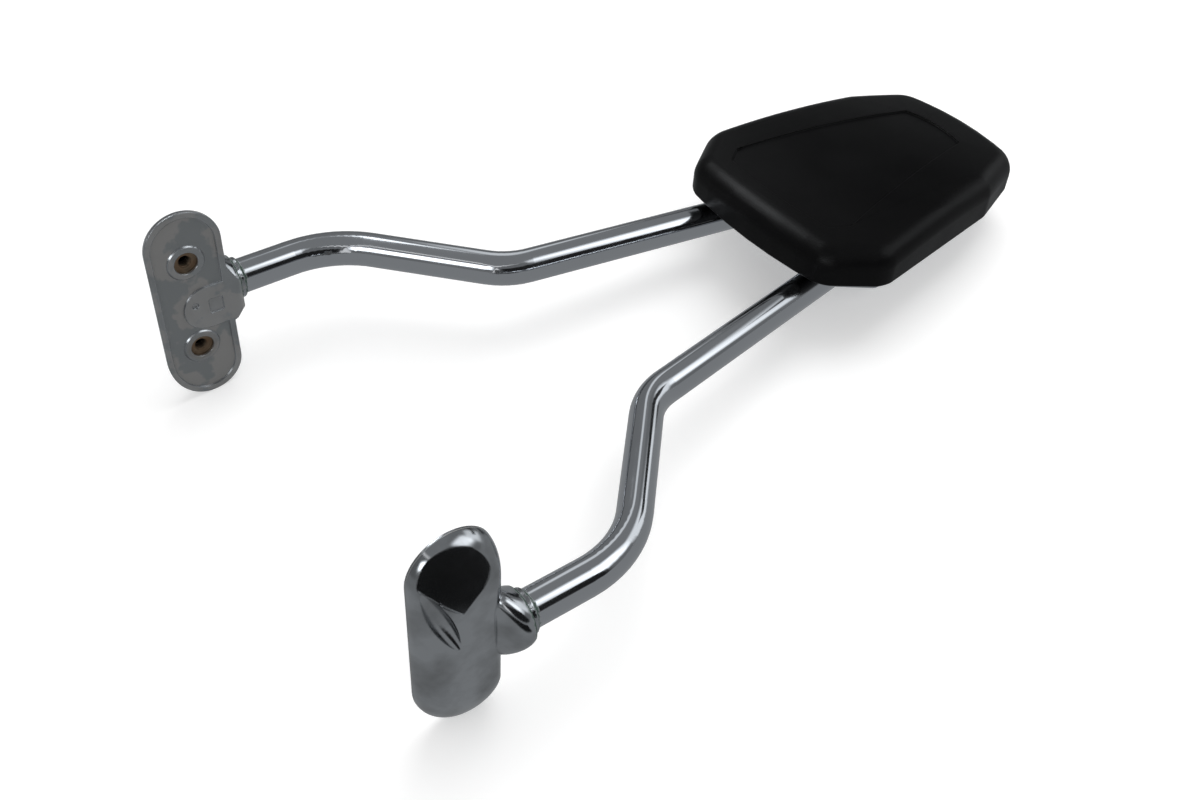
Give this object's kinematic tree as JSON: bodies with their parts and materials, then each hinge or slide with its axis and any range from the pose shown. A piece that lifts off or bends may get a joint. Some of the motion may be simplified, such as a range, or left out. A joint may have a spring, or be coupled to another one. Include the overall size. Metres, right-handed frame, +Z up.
{
  "type": "sissy bar",
  "caption": "Motorcycle sissy bar: bent oval tubes on cast side brackets with threaded bosses, and a tapered moulded backrest pad.",
  "frame": {"origin": "centre of the footprint at ground level, as the bar lies on its back", "axes": "+X to the rider's left, +Y from the brackets to the top of the pad, +Z up, out of the pad's face"},
  "size_m": [0.3296, 0.522, 0.1287],
  "materials": {
    "chromed_casting": "chrome plate over a cast bracket, dull on the inner face",
    "chromed_tube": "bright chrome plate on bent tube",
    "chromed_cover": "bright chrome plate on a pressed cover",
    "chromed_screw": "chrome plated screw heads",
    "moulded_pad": "satin black moulded urethane skin with fine grain",
    "black_steel": "black painted steel",
    "zinc_steel": "zinc plated steel",
    "threaded_steel": "threaded steel, stained with rust"
  },
  "bodies": {
    "root": {"bracket_left": "chromed_casting", "bracket_right": "chromed_casting", "upright_left": "chromed_tube", "upright_right": "chromed_tube", "pad_cushion": "moulded_pad", "rear_cover": "chromed_cover", "pad_plate": "black_steel", "pad_pan": "black_steel", "pad_nuts": "zinc_steel", "pad_washers": "zinc_steel", "pad_screws": "zinc_steel", "cover_posts": "zinc_steel", "cover_screws": "chromed_screw", "bush_left_upper": "threaded_steel", "bush_left_lower": "threaded_steel", "bush_right_upper": "threaded_steel", "bush_right_lower": "threaded_steel"}
  },
  "joints": []
}
